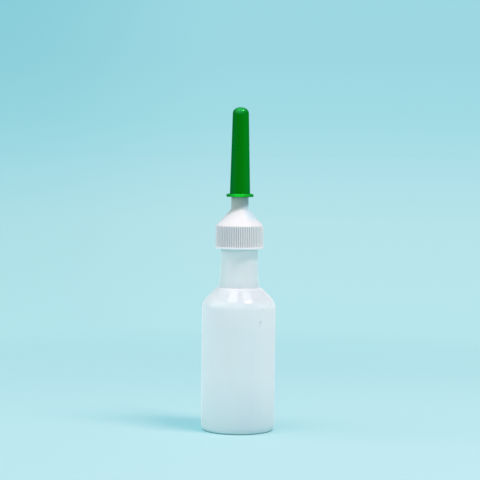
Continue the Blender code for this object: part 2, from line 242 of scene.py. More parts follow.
class Finish:
    # A material whose nodes are added one line each

    def __init__(self, name):
        self.material = bpy.data.materials.new(name)
        self.material.use_nodes = True
        self.tree = self.material.node_tree
        self.shader = self.tree.nodes["Principled BSDF"]
        self.place = self.tree.nodes.new("ShaderNodeTexCoord").outputs["Object"]
        self.bumps = None

    def math(self, operation, *values):
        # One step of arithmetic on numbers
        return worked(self.tree, operation, *values)

    def ranged(self, value, *limits):
        # A smooth step between two values
        return ranged(self.tree, value, *limits)

    def mixed(self, share, a, b):
        # Colour a plus the share of the way to colour b
        return blended(self.tree, share, a, b)

    def times(self, a, b):
        # Colour a times colour b
        return blended(self.tree, 1.0, a, b, "MULTIPLY")

    def noise(self, size, detail=3.0, stretch=(1, 1, 1), rough=0.5):
        # Soft blotches of about the given size in metres, longer where the stretch is small, with
        # finer ones added as often as detail says, each weaker than the last by rough
        mapping = self.tree.nodes.new("ShaderNodeMapping")
        mapping.inputs["Scale"].default_value = stretch
        feed(self.tree, mapping.inputs["Vector"], self.place)
        node = self.tree.nodes.new("ShaderNodeTexNoise")
        node.inputs["Scale"].default_value = 1 / size
        node.inputs["Detail"].default_value = detail
        node.inputs["Roughness"].default_value = rough
        feed(self.tree, node.inputs["Vector"], mapping.outputs[0])
        return node.outputs["Fac"]

    def axes(self):
        # The three coordinates of a place on the piece
        node = self.tree.nodes.new("ShaderNodeSeparateXYZ")
        feed(self.tree, node.inputs[0], self.place)
        return node.outputs

    def radius(self):
        # The root of x^2 + y^2
        x, y, _ = self.axes()
        squares = self.math("ADD", self.math("MULTIPLY", x, x), self.math("MULTIPLY", y, y))
        return self.math("SQRT", squares)

    def near(self, point, size, softness=0.5):
        # 1 at a point on the piece, falling to 0 at the given distance
        distance = vectorWorked(self.tree, "DISTANCE", self.place, point)
        return self.ranged(distance, size * (1 - softness), size, 1.0, 0.0)

    def banded(self, value, tones):
        # A colour for every value, running straight between the given ones
        low, high = tones[0][0], tones[-1][0]
        node = self.tree.nodes.new("ShaderNodeMapRange")
        node.inputs["From Min"].default_value, node.inputs["From Max"].default_value = low, high
        feed(self.tree, node.inputs["Value"], value)
        shares = [((at - low) / (high - low), tone) for at, tone in tones]
        return ramp(self.tree, node.outputs[0], shares)

    def edgeGloss(self, start, end, full, low):
        # Less mirror towards the outline, as a softly worn surface has
        facing = self.tree.nodes.new("ShaderNodeLayerWeight").outputs["Facing"]
        return self.ranged(facing, start, end, full, low)

    def bump(self, height, depth):
        # Adds relief: the height, from 0 to 1, is worth the given depth in metres
        node = self.tree.nodes.new("ShaderNodeBump")
        node.inputs["Distance"].default_value = depth
        feed(self.tree, node.inputs["Height"], height)
        if self.bumps:
            feed(self.tree, node.inputs["Normal"], self.bumps)
        self.bumps = node.outputs[0]

    def done(self, sockets):
        # The shader's sockets by name, with the relief added last
        for name, value in sockets.items():
            feed(self.tree, self.shader.inputs[name], value)
        if self.bumps:
            feed(self.tree, self.shader.inputs["Normal"], self.bumps)
        return self.material


evenScatter = (1.0, 1.0, 1.0)  # red, green and blue go equally far inside white plastic


def dressed(piece, material, body, node):
    # The piece rides on one body and stands for one solid
    piece.data.materials.append(material)
    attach(piece, body)
    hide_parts(node)


# Bottle

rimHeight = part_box("bottle")[1].z

bottle = {
    "radius": 22.5 * mm,
    "wall": 0.9 * mm,
    "baseWall": 1.3 * mm,
    "footRadius": 20.2 * mm,
    "footWidth": 2.4 * mm,
    "heelHeight": 4.7 * mm,
    "innerHeelFillet": 3.5 * mm,
    "pushUp": 2.6 * mm,
    "shoulderHeight": 78.1 * mm,
    "shoulderFillet": 10.0 * mm,
    "shoulderAngle": 44.0,
    "ringRadius": 14.3 * mm,
    "ringAngle": 67.0,
    "ringFillet": 3.0 * mm,
    "neckRadius": 11.2 * mm,
    "neckWall": 1.6 * mm,
    "neckFlare": 1.25 * mm,
    "neckRootFillet": 0.7 * mm,
    "finishLength": 15.6 * mm,  # the straight end of the neck, under the rim
    "rimRound": 0.4 * mm,
    "unevenness": 0.03 * mm,
    "bodyTop": 80.0 * mm,
    "bodyFade": 5.0 * mm,
    "seamAngle": 0.009,
    "seamHeight": 0.05 * mm,
    "seamEnds": (4.5 * mm, 110.0 * mm),
    "seamFades": (3.0 * mm, 2.0 * mm),
    "pinchWidth": 0.5 * mm,
    "pinchEnd": 1.4,  # in half widths: the ridge is full up to 0.4 of them and ends here
    "pinchHeight": 0.35 * mm,
    "pinchReach": 15.0 * mm,
    "pinchFade": 3.0 * mm,
    "segments": 180,
    "threadRows": (112.0 * mm, 121.0 * mm, 0.14 * mm),  # from a height to a height, and the step
    "thread": {
        "start": 113.3 * mm,
        "pitch": 3.175 * mm,
        "turns": 1.9,
        "foot": 1.35 * mm,
        "crest": 0.5 * mm,
        "height": 1.0 * mm,
        "fade": 0.12,
    },
    # A line between the inner and the outer face of the wall, as (height, radius)
    "midWall": [
        (0.0, 0.0),
        (1.3 * mm, 21.9 * mm),
        (78.0 * mm, 22.0 * mm),
        (90.0 * mm, 12.0 * mm),
        (rimHeight, 10.4 * mm),
    ],
    "milk": [(0.975, 0.99, 0.985), (0.967, 0.987, 0.983)],
    # Painted shade and light up the wall: darker towards the heel, where the floor's shade falls, on the
    # shoulder's slope and on the neck, and lighter just under the shoulder
    "paintedShadeUpWall": [
        (0.0 * mm, (0.69, 0.785, 0.80)),
        (4.5 * mm, (0.75, 0.835, 0.845)),
        (12.0 * mm, (0.82, 0.885, 0.89)),
        (22.0 * mm, (0.885, 0.925, 0.935)),
        (34.0 * mm, (0.94, 0.97, 0.97)),
        (62.0 * mm, (0.945, 0.97, 0.97)),
        (72.0 * mm, (1.0, 1.0, 1.0)),
        (76.5 * mm, (1.0, 1.0, 1.0)),
        (80.5 * mm, (0.86, 0.835, 0.845)),
        (87.0 * mm, (0.86, 0.835, 0.845)),
        (92.0 * mm, (0.93, 0.90, 0.885)),
        (101.0 * mm, (0.93, 0.90, 0.885)),
        (109.0 * mm, (0.975, 0.97, 0.945)),
        (122.0 * mm, (0.975, 0.97, 0.945)),
    ],
    # Painted shade across the front, from its left to its right
    "paintedShadeAcrossFront": [
        (-22.5 * mm, (0.945, 0.97, 0.955)),
        (-8.0 * mm, (0.97, 0.985, 0.985)),
        (8.0 * mm, (0.915, 0.935, 0.955)),
        (22.5 * mm, (0.965, 0.975, 0.98)),
    ],
    # The neck's wall is thick. Painted shade darkens it at both edges and, near its top, on the left,
    # where the cap's shade falls. These run from -1 at its left edge to 1 at its right, first for its
    # foot and then for its top.
    "neckStart": (87.2 * mm, 88.4 * mm),
    "neckEdgeShade": [
        (-1.0, (0.86, 0.93, 0.92)),
        (-0.88, (0.87, 0.93, 0.92)),
        (-0.6, (1.0, 1.0, 1.0)),
        (0.65, (0.995, 1.0, 1.0)),
        (0.85, (0.92, 0.97, 0.98)),
        (1.0, (0.86, 0.97, 0.98)),
    ],
    "neckTopStart": (101.0 * mm, 109.0 * mm),
    "neckTopEdgeShade": [
        (-1.0, (0.82, 0.88, 0.89)),
        (-0.6, (0.86, 0.885, 0.89)),
        (-0.2, (0.94, 0.97, 0.965)),
        (0.4, (1.0, 1.0, 1.0)),
        (1.0, (0.95, 1.0, 1.0)),
    ],
    # Scuffed bands at the heel and the shoulder, as (middle, reach)
    "wornBands": [(4.5 * mm, 3.5 * mm), (77.0 * mm, 4.0 * mm)],
    "wornColour": (0.96, 0.97, 0.97),
    "wornStrength": 0.35,
    "wornRoughness": 0.2,
    # Small dark inclusions in the wall, as (place, size, strength)
    "specks": [
        ((13.1 * mm, -18.2 * mm, 67.8 * mm), 1.7 * mm, 0.2),
        ((12.9 * mm, -18.4 * mm, 65.4 * mm), 1.0 * mm, 0.13),
        ((14.9 * mm, -16.8 * mm, 74.9 * mm), 0.9 * mm, 0.14),
    ],
    "speckColour": (0.12, 0.16, 0.16),
    # Patterns, as the values of Finish.noise, and the depths of their relief
    "clouds": (16 * mm, 2.0),
    "cloudDepth": 0.1 * mm,
    "streaks": (3 * mm, 3.0, (1, 1, 0.15)),
    "streakDepth": 0.002 * mm,
    "grain": (0.35 * mm, 2.0),
    "grainDepth": 0.001 * mm,
    "scuffs": (1.3 * mm, 6.0, (1, 1, 0.35), 0.7),
    "scuffLevels": (0.58, 0.72),  # of the pattern, from which scuffs show and are full
    "roughness": (0.10, 0.14),
    "mirror": (0.35, 0.8, 0.5, 0.0),  # facing from and to, and its level before and after
    "scatter": 1.0 * mm,
}


def shoulderSide(wall, neckWall):
    # The corners from the side wall up to the rim. Each side moves inwards by the wall, so the
    # corner between two moves by wall / cos(half their turn). The neck's flare grows with the
    # square of the way down from its straight part.
    b = bottle
    angles = np.radians([0, b["shoulderAngle"], b["ringAngle"]])
    coneRise = (b["radius"] - b["ringRadius"]) / math.tan(angles[1])
    corners = [
        np.array([b["radius"], b["shoulderHeight"]]),
        np.array([b["ringRadius"], b["shoulderHeight"] + coneRise]),
    ]
    moved = []
    for corner, before, after in zip(corners, angles, angles[1:]):
        middle, half = (before + after) / 2, (after - before) / 2
        moved.append(corner - wall / math.cos(half) * np.array([math.cos(middle), math.sin(middle)]))
    rootRadius = b["neckRadius"] + b["neckFlare"] - wall
    rootHeight = moved[1][1] + (moved[1][0] - rootRadius) / math.tan(angles[2])
    share = np.linspace(0, 1, 9)[1:]
    straight = b["neckRadius"] - neckWall
    flareTop = rimHeight - b["finishLength"]
    flareRadius = straight + (rootRadius - straight) * (1 - share) ** 2
    flareHeight = rootHeight + (flareTop - rootHeight) * share
    side = [
        (*moved[0], b["shoulderFillet"] - wall),
        (*moved[1], b["ringFillet"] - wall),
        (rootRadius, rootHeight, b["neckRootFillet"] + wall),
    ]
    side += [(r, z, 0) for r, z in zip(flareRadius, flareHeight)]
    return side + [(straight, rimHeight, b["rimRound"])]


def bottleProfile():
    # From the middle of the base out and up the outside, over the rim and down the inside. The
    # push-up falls with the square of the radius, and the heel is a quarter of an ellipse.
    b = bottle
    dishRadius = b["footRadius"] - b["footWidth"]
    share = np.linspace(0, 1, 14)
    dish = np.column_stack([dishRadius * share, b["pushUp"] * (1 - share**2)])
    heelCentre = (b["footRadius"], b["heelHeight"])
    heel = arc(heelCentre, b["radius"] - b["footRadius"], b["heelHeight"], -90, 0, 14)
    heelTop = (b["radius"], b["heelHeight"], 0)
    onRim = (b["neckRadius"] - 1 * mm, rimHeight, 0)
    # The side wall is one straight row, from the heel to the second point of the shoulder's arc
    outside = filleted([heelTop] + shoulderSide(0, 0) + [onRim], 10)[2:-1]
    outside = divided(outside, *b["threadRows"])
    inside = [(b["neckRadius"], rimHeight, 0)] + shoulderSide(b["wall"], b["neckWall"])[::-1]
    inside += [
        (b["radius"] - b["wall"], b["baseWall"], b["innerHeelFillet"]),
        (dishRadius, b["baseWall"], 0),
    ]
    inside = filleted(inside, 8)[1:]
    insideDish = (dish + [0, b["baseWall"]])[::-1][1:]
    return np.vstack([dish, heel, outside, inside, insideDish])


def bottleForm(t, r, z):
    # The radius loses a slow unevenness of the blown wall, in waves of 2, 3 and 5 round it, and
    # the outside gains the parting line and the thread. The mould's pinched seam hangs under the
    # middle of the base as a ridge with sloping sides.
    b = bottle
    outer = r > np.interp(z, *np.transpose(b["midWall"]))
    body = smooth(z / b["bodyFade"]) * smooth((b["bodyTop"] - z) / b["bodyFade"])
    wave = 0.5 * np.sin(2 * t + 0.7)
    wave = wave + 0.3 * np.sin(3 * t + z / (18 * mm)) + 0.2 * np.sin(5 * t - z / (9 * mm))
    r = r - b["unevenness"] * (0.5 + 0.5 * wave) * body
    (seamLow, seamHigh), (lowFade, highFade) = b["seamEnds"], b["seamFades"]
    seam = partingLine(t, b["seamAngle"]) * smooth((z - seamLow) / lowFade)
    seam = seam * smooth((seamHigh - z) / highFade)
    r = r + np.where(outer, b["seamHeight"] * seam, 0) - b["seamHeight"] * body
    r = r + np.where(outer, threadRidge(t, z, b["thread"]), 0)
    underBase = z < b["pushUp"] + 0.1 * mm
    across = np.abs(r * np.sin(t)) / (b["pinchWidth"] / 2)
    pinch = b["pinchHeight"] * np.clip(b["pinchEnd"] - across, 0, 1)
    pinch = pinch * smooth((b["pinchReach"] - r) / b["pinchFade"])
    return r, z - np.where(underBase, pinch, 0)


def milkyFinish():
    # Clouds and upright streaks, times painted shade up the wall, across its front and at the neck's
    # edges, with specks and scuffs over them. Light scatters inside the wall.
    b = bottle
    f = Finish("milkyPolyethylene")
    across, _, height = f.axes()
    cloud = f.noise(*b["clouds"])
    streaks = f.noise(*b["streaks"])
    scuff = f.ranged(f.noise(*b["scuffs"]), *b["scuffLevels"])
    bands = [
        f.ranged(f.math("ABSOLUTE", f.math("SUBTRACT", height, middle)), 0, reach, 1, 0)
        for middle, reach in b["wornBands"]
    ]
    wear = f.math("MULTIPLY", scuff, f.math("MAXIMUM", *bands))
    tone = f.math("ADD", f.math("MULTIPLY", cloud, 0.75), f.math("MULTIPLY", streaks, 0.25))
    colour = f.mixed(f.ranged(tone, 0.3, 0.7), *b["milk"])
    colour = f.times(colour, f.banded(height, b["paintedShadeUpWall"]))
    colour = f.times(colour, f.banded(across, b["paintedShadeAcrossFront"]))
    edgeward = f.math("DIVIDE", across, f.radius())
    neckFoot, neckTop = f.banded(edgeward, b["neckEdgeShade"]), f.banded(edgeward, b["neckTopEdgeShade"])
    neck = f.mixed(f.ranged(height, *b["neckTopStart"]), neckFoot, neckTop)
    colour = f.mixed(f.ranged(height, *b["neckStart"]), colour, f.times(colour, neck))
    for place, size, strength in b["specks"]:
        speck = f.math("MULTIPLY", f.near(place, size, 0.9), strength)
        colour = f.mixed(speck, colour, b["speckColour"])
    colour = f.mixed(f.math("MULTIPLY", wear, b["wornStrength"]), colour, b["wornColour"])
    f.bump(cloud, b["cloudDepth"])
    f.bump(streaks, b["streakDepth"])
    f.bump(f.noise(*b["grain"]), b["grainDepth"])
    worn = f.math("MULTIPLY", wear, b["wornRoughness"])
    rough = f.math("ADD", f.ranged(streaks, 0.2, 0.8, *b["roughness"]), worn)
    return f.done({
        "Base Color": colour,
        "Roughness": rough,
        "IOR": 1.51,
        "Subsurface Weight": 1.0,
        "Subsurface Scale": b["scatter"],
        "Subsurface Radius": evenScatter,
        "Specular IOR Level": f.edgeGloss(*b["mirror"]),
    })


bottlePiece = turnedSurface(
    "squeezeBottle", bottleProfile(), anglesWithSeam(bottle["segments"], bottle["seamAngle"]), bottleForm
)
dressed(bottlePiece, milkyFinish(), "bottle", "bottle")


# Seal washer

washer = {
    "outer": 11.0 * mm,
    "inner": 8.0 * mm,
    "round": 0.18 * mm,
    "segments": 128,
    "shades": [(0.80, 0.81, 0.78), (0.90, 0.90, 0.88)],
    "poreSize": 0.22 * mm,
    "poreDepth": 0.04 * mm,
    "poreWallColour": (0.66, 0.66, 0.62),
    "poreWallLevels": (0.15, 0.6),  # of the distance from a pore's middle, in pore sizes
    "poreWallStrength": 0.25,
    "cloudSize": 3 * mm,
    "roughness": (0.75, 0.9),
}
washerLow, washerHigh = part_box("seal_washer")


def washerProfile():
    # A rectangle with rounded corners, from the middle of its underside outwards
    w = washer
    middle = (w["outer"] + w["inner"]) / 2
    return filleted([
        (middle, washerLow.z, 0),
        (w["outer"], washerLow.z, w["round"]),
        (w["outer"], washerHigh.z, w["round"]),
        (w["inner"], washerHigh.z, w["round"]),
        (w["inner"], washerLow.z, w["round"]),
        (middle - 0.1 * mm, washerLow.z, 0),
    ], 4)


def foamFinish():
    # Off-white foam: small pits, with slightly darker walls between them
    w = washer
    f = Finish("sealingFoam")
    cells = f.tree.nodes.new("ShaderNodeTexVoronoi")
    cells.inputs["Scale"].default_value = 1 / w["poreSize"]
    feed(f.tree, cells.inputs["Vector"], f.place)
    walls = f.ranged(cells.outputs["Distance"], *w["poreWallLevels"])
    tone = f.noise(w["cloudSize"])
    f.bump(walls, w["poreDepth"])
    colour = f.mixed(tone, *w["shades"])
    wallShare = f.math("MULTIPLY", walls, w["poreWallStrength"])
    colour = f.mixed(wallShare, colour, w["poreWallColour"])
    return f.done({"Base Color": colour, "Roughness": f.ranged(tone, 0.2, 0.8, *w["roughness"])})


washerPiece = turnedSurface("sealWasher", washerProfile(), evenAngles(washer["segments"]))
dressed(washerPiece, foamFinish(), "washer", "seal_washer")


# Nozzle

nozzle = {
    "flangeRadius": 12.1 * mm,
    "flangeThickness": 1.5 * mm,
    "recessRadius": 9.9 * mm,
    "recessDepth": 1.3 * mm,
    "throatRadius": 8.7 * mm,
    "wall": 1.2 * mm,
    "coneAngle": 42.2,
    "tubeRadius": 3.1 * mm,
    "tipRadius": 2.6 * mm,
    "midWall": 2.0 * mm,  # between the bore and the outside
    "boreRadius": 1.5 * mm,
    "outletRadius": 0.9 * mm,
    "outletRound": 0.25 * mm,
    "taperStart": 11.2 * mm,
    "tipHeight": 2.6 * mm,
    "seamHeight": 0.04 * mm,
    "seamAngle": 0.02,
    "seamStart": 14.0 * mm,  # up from the flange
    "seamStop": 4.0 * mm,  # down from the tip
    "seamFade": 2.0 * mm,
    "segments": 96,
    "shades": [(0.87, 0.90, 0.90), (0.92, 0.94, 0.94)],
    "clouds": (4 * mm, 3.0),
    "drawnLines": (0.5 * mm, 2.0, (1, 1, 0.08)),
    "lineDepth": 0.0015 * mm,
    "grain": (0.25 * mm, 1.0),
    "grainDepth": 0.0004 * mm,
    "roughness": (0.30, 0.40),
    "scatter": 0.5 * mm,
}
nozzleLow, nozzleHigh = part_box("nozzle")


def nozzleProfile():
    # From the side of the tip over its end, a quarter of an ellipse with a round lip, down the
    # bore and the inner cone, round the flange, and up the outer cone and the tapered tube
    n = nozzle
    low, tip = nozzleLow.z, nozzleHigh.z
    slope = math.tan(math.radians(n["coneAngle"]))
    coneTop = low + n["flangeThickness"] + (n["flangeRadius"] - n["tubeRadius"]) / slope
    innerBase = n["flangeRadius"] - n["wall"] / math.cos(math.radians(n["coneAngle"]))
    throatTop = low + n["flangeThickness"] + (innerBase - n["throatRadius"]) / slope
    boreStart = low + n["flangeThickness"] + (innerBase - n["boreRadius"]) / slope
    outletRound = n["outletRound"]
    lipRadius = n["outletRadius"] + outletRound
    tipWidth = n["tipRadius"] - n["outletRadius"] - outletRound
    bullet = arc((lipRadius, tip - n["tipHeight"]), tipWidth, n["tipHeight"], 0, 90, 14)
    lip = arc((lipRadius, tip - outletRound), outletRound, outletRound, 90, 180, 5)[1:]
    rest = filleted([
        (n["outletRadius"], tip - 0.3 * mm, 0),
        (n["outletRadius"], tip - n["tipHeight"] + 0.6 * mm, 0.3 * mm),
        (n["boreRadius"], tip - n["tipHeight"], 0.3 * mm),
        (n["boreRadius"], boreStart, 1.5 * mm),
        (n["throatRadius"], throatTop, 0.3 * mm),
        (n["throatRadius"], low + n["recessDepth"], 0.1 * mm),
        (n["recessRadius"], low + n["recessDepth"], 0.1 * mm),
        (n["recessRadius"], low, 0.15 * mm),
        (n["flangeRadius"], low, 0.25 * mm),
        (n["flangeRadius"], low + n["flangeThickness"], 0.3 * mm),
        (n["tubeRadius"], coneTop, 1.2 * mm),
        (n["tubeRadius"], coneTop + n["taperStart"], 6 * mm),
        (n["tipRadius"], tip - n["tipHeight"], 0),
    ], 5)
    return np.vstack([bullet[1:], lip, rest])


def nozzleForm(t, r, z):
    # A fine parting line down both sides of the tube
    n = nozzle
    fade = smooth((nozzleHigh.z - n["seamStop"] - z) / n["seamFade"])
    fade = fade * smooth((z - nozzleLow.z - n["seamStart"]) / n["seamFade"])
    seam = n["seamHeight"] * partingLine(t, n["seamAngle"]) * fade
    return r + np.where(r > n["midWall"], seam, 0), z


def nozzleFinish():
    # White, faintly clouded, with fine lines drawn along the tube
    n = nozzle
    f = Finish("nozzlePolyethylene")
    drawn = f.noise(*n["drawnLines"])
    f.bump(drawn, n["lineDepth"])
    f.bump(f.noise(*n["grain"]), n["grainDepth"])
    return f.done({
        "Base Color": f.mixed(f.noise(*n["clouds"]), *n["shades"]),
        "Roughness": f.ranged(drawn, 0.3, 0.7, *n["roughness"]),
        "IOR": 1.51,
        "Subsurface Weight": 0.2,
        "Subsurface Scale": n["scatter"],
        "Subsurface Radius": evenScatter,
    })


nozzlePiece = turnedSurface(
    "dosingNozzle", nozzleProfile(), anglesWithSeam(nozzle["segments"], nozzle["seamAngle"]), nozzleForm
)
dressed(nozzlePiece, nozzleFinish(), "nozzle", "nozzle")


# Slit valve

valve = {
    "rimRadius": 9.6 * mm,
    "rimRound": 0.2 * mm,
    "mouthRound": 0.25 * mm,
    "thickness": 1.0 * mm,
    "domeRadius": 5.0 * mm,
    "domeHeight": 4.2 * mm,
    "domeWall": 0.8 * mm,
    "domeFade": 1.0 * mm,
    "slitLength": 4.4 * mm,
    "slitEnd": 0.3 * mm,
    "slitWidth": 0.22 * mm,
    "slitDepth": 0.3 * mm,
    "segments": 160,
    "shades": [(0.60, 0.53, 0.38), (0.70, 0.63, 0.49)],
    "bloomColour": (0.80, 0.76, 0.67),
    "bloom": (0.6 * mm, 5.0),
    "bloomLevels": (0.45, 0.75),
    "bloomStrength": 0.3,
    "clouds": (2.5 * mm, 4.0),
    "grain": (0.12 * mm, 3.0),
    "grainDepth": 0.006 * mm,
    "roughness": (0.5, 0.7),
    "scatter": 1.0 * mm,
    "scatterRadius": (1.0, 0.6, 0.3),
}
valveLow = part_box("valve")[0]


def valveProfile():
    # From the axis under the dome's top down its inside, round the rim and up over the dome.
    # Both faces of the dome are quarters of an ellipse.
    v = valve
    low = valveLow.z
    inner = v["domeRadius"] - v["domeWall"]
    below = arc((0, low + v["thickness"]), inner, v["domeHeight"] - v["domeWall"], 90, 0, 20)
    above = arc((0, low + v["thickness"]), v["domeRadius"], v["domeHeight"], 0, 90, 24)
    rim = filleted([
        (inner, low + v["thickness"], 0),
        (inner, low, v["mouthRound"]),
        (v["rimRadius"], low, v["rimRound"]),
        (v["rimRadius"], low + v["thickness"], v["rimRound"]),
        (v["domeRadius"], low + v["thickness"], 0),
    ], 4)
    below[0, 0] = above[-1, 0] = 0
    return np.vstack([below, rim[1:-1], above])


def valveForm(t, r, z):
    # The closed slit is a narrow crease, a bell across, pressed into both faces of the dome
    v = valve
    rise = z - valveLow.z - v["thickness"]
    across = np.abs(r * np.sin(t)) / v["slitWidth"]
    along = smooth((v["slitLength"] / 2 - np.abs(r * np.cos(t))) / v["slitEnd"])
    crease = v["slitDepth"] * np.exp(-(across**2)) * along * smooth(rise / v["domeFade"])
    outer = (r / v["domeRadius"]) ** 2 + (rise / v["domeHeight"]) ** 2 > 0.9
    return r, z + np.where(outer, -crease, crease)


def rubberFinish():
    # Clouded amber rubber with a pale bloom in patches
    v = valve
    f = Finish("valveRubber")
    clouded = f.mixed(f.noise(*v["clouds"]), *v["shades"])
    bloom = f.ranged(f.noise(*v["bloom"]), *v["bloomLevels"])
    colour = f.mixed(f.math("MULTIPLY", bloom, v["bloomStrength"]), clouded, v["bloomColour"])
    f.bump(f.noise(*v["grain"]), v["grainDepth"])
    return f.done({
        "Base Color": colour,
        "Roughness": f.ranged(bloom, 0, 1, *v["roughness"]),
        "Subsurface Weight": 0.3,
        "Subsurface Scale": v["scatter"],
        "Subsurface Radius": v["scatterRadius"],
    })


valvePiece = turnedSurface("slitValve", valveProfile(), evenAngles(valve["segments"]), valveForm)
dressed(valvePiece, rubberFinish(), "nozzle", "valve")


# Screw cap

capLow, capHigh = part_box("screw_cap")

cap = {
    "skirtRadius": 12.5 * mm,
    "wall": 1.75 * mm,
    "coneWall": 1.3 * mm,
    "skirtHeight": 13.7 * mm,
    "ribs": 68,
    "ribHeight": 0.35 * mm,
    # Across one rib, as (share of the pitch from the rib's middle, share of the flute's depth)
    "ribOutline": [
        (-0.24, 0.10), (-0.12, 0.0), (0.12, 0.0), (0.24, 0.10),
        (0.30, 0.45), (0.40, 1.0), (0.60, 1.0), (0.70, 0.45),
    ],
    "ribOverrun": 0.25 * mm,  # how far the fine rows reach past the flutes' ends on the cone
    "beadHeight": 1.25 * mm,
    "beadSideHeight": 0.75 * mm,
    "beadProud": 0.12 * mm,
    "beadRound": 0.45 * mm,
    "coneAngle": 42.2,
    "coneEdgeRound": 0.3 * mm,
    "spigotHeight": 7.2 * mm,
    "spigotRootRound": 2.2 * mm,
    "spigotRadius": 5.24 * mm,
    "ledgeRound": 0.25 * mm,
    "plugRadius": 4.78 * mm,
    "plugTopRadius": 4.68 * mm,
    "plugHeight": 4.0 * mm,
    "boreRadius": 3.4 * mm,
    "skirtStep": 3.0 * mm,
    "edgeStep": 0.07 * mm,
    "threadStep": 0.17 * mm,
    "thread": {
        "start": bottle["thread"]["start"] + 2.1 * mm,  # just under the neck's next turn
        "pitch": bottle["thread"]["pitch"],
        "turns": 1.5,
        "foot": 1.3 * mm,
        "crest": 0.5 * mm,
        "height": 1.0 * mm,
        "fade": 0.12,
    },
    "shades": [(0.87, 0.81, 0.805), (0.90, 0.83, 0.825)],
    # Bands of heights above the cap's foot over which one look gives way to the next
    "lipEnd": (1.0 * mm, 1.5 * mm),
    "ribsStart": (1.3 * mm, 1.7 * mm),
    "ribsEnd": (13.8 * mm, 14.2 * mm),
    "coneShadeStart": (15.5 * mm, 20.0 * mm),
    # Painted light: the bead at the foot is paler and less pink than the rest of the cap
    "lipLightColour": (0.90, 0.89, 0.90),
    "fluteGreyColour": (0.41, 0.40, 0.41),
    "fluteGreyStrength": 0.7,
    "coneShade": (0.76, 0.94, 1.0),  # painted shade: what the right edge of the upper cone keeps of its colour
    "coneShadeSide": (0.15, 0.85),  # over which it grows, from the middle at 0 to the edge at 1
    "plugColour": (0.80, 0.79, 0.79),
    # Painted light and shade across the cone, from its left to its right
    "coneLightAcross": [
        (-14.0 * mm, (0.98, 0.97, 0.96)),
        (-3.0 * mm, (1.02, 1.02, 1.01)),
        (3.0 * mm, (0.965, 0.975, 0.985)),
        (14.0 * mm, (0.97, 0.98, 0.985)),
    ],
    # Painted shade across the ribs: greyer than the cone, most of all on the left
    "ribShadeAcross": [
        (-14.0 * mm, (0.83, 0.765, 0.76)),
        (-4.0 * mm, (0.85, 0.785, 0.785)),
        (4.0 * mm, (0.87, 0.815, 0.81)),
        (14.0 * mm, (0.88, 0.85, 0.835)),
    ],
    # Painted shadow of the green cover's flange on the spigot, tinted green as by light thrown back from
    # the flange
    "flangeShadowOnSpigot": [
        (capHigh.z - 16.0 * mm, (1.0, 1.0, 1.0)),
        (capHigh.z - 12.0 * mm, (0.90, 0.92, 0.92)),
        (capHigh.z - 9.7 * mm, (0.525, 0.59, 0.555)),
        (capHigh.z, (0.47, 0.555, 0.515)),
    ],
    "flangeShadowSlant": -0.4,  # slants the painted shadow's edge: added to the height at which it is read, per metre to the right
    "clouds": (6 * mm, 3.0),
    "flow": (0.9 * mm, 4.0, (1, 1, 0.3)),
    "flowDepth": 0.012 * mm,
    "grain": (0.2 * mm, 2.0),
    "grainDepth": 0.003 * mm,
    "scuffs": (0.7 * mm, 6.0, (1, 1, 1), 0.7),
    "scuffLevels": (0.6, 0.75),
    "scuffRoughness": 0.12,
    "roughness": (0.44, 0.54),
    "scatter": 0.8 * mm,
}
ribTipRadius = cap["skirtRadius"] + cap["wall"] + cap["ribHeight"]
fluteFloorRadius = ribTipRadius - cap["ribHeight"]


def capAngles():
    # The rib's own samples, repeated round the skirt
    shares = np.array([share for share, depth in cap["ribOutline"]])
    return ((np.arange(cap["ribs"])[:, None] + shares[None, :]) * tau / cap["ribs"]).ravel()


def capProfile():
    # From the skirt's underside round the bead, up the ribs' tips and the cone, over the ledge
    # and the plug, and down the bore, the inner cone and the inside of the skirt
    c = cap
    low = capLow.z
    slope = math.tan(math.radians(c["coneAngle"]))
    skirtTop = low + c["skirtHeight"]
    coneTop = skirtTop + (ribTipRadius - c["spigotRadius"]) / slope
    ledge = coneTop + c["spigotHeight"]
    innerCone = ribTipRadius - c["coneWall"] / math.cos(math.radians(c["coneAngle"]))
    innerEdge = skirtTop + (innerCone - c["skirtRadius"]) / slope
    boreFoot = skirtTop + (innerCone - c["boreRadius"]) / slope
    ribEnd = c["ribHeight"] / slope + c["ribOverrun"]
    beadRadius = ribTipRadius + c["beadProud"]
    beadTop = low + c["beadHeight"]
    whole = filleted([
        (c["skirtRadius"] + 0.6 * mm, low, 0),
        (beadRadius, low, c["beadRound"]),
        (beadRadius, low + c["beadSideHeight"], 0.15 * mm),
        (ribTipRadius, beadTop, 0),
        (ribTipRadius, beadTop + 0.02 * mm, 0),
        (ribTipRadius, skirtTop, c["coneEdgeRound"]),
        (ribTipRadius - ribEnd * slope, skirtTop + ribEnd, 0),
        (c["spigotRadius"], coneTop, c["spigotRootRound"]),
        (c["spigotRadius"], ledge, c["ledgeRound"]),
        (c["plugRadius"], ledge, 0.08 * mm),
        (c["plugTopRadius"], ledge + c["plugHeight"], 0.3 * mm),
        (c["boreRadius"], ledge + c["plugHeight"], 0.15 * mm),
        (c["boreRadius"], boreFoot, 0.5 * mm),
        (c["skirtRadius"], innerEdge, 0.3 * mm),
        (c["skirtRadius"], low, 0.35 * mm),
        (c["skirtRadius"] + 0.45 * mm, low, 0),
    ], 5)
    whole = divided(whole, beadTop + 0.1 * mm, skirtTop - 0.35 * mm, c["skirtStep"])
    turn = np.argmax(whole[:, 1])
    upSide = divided(whole[:turn], skirtTop, skirtTop + ribEnd, c["edgeStep"])
    downSide = divided(whole[turn:], low + 0.5 * mm, innerEdge - 0.5 * mm, c["threadStep"])
    return np.vstack([upSide, downSide])


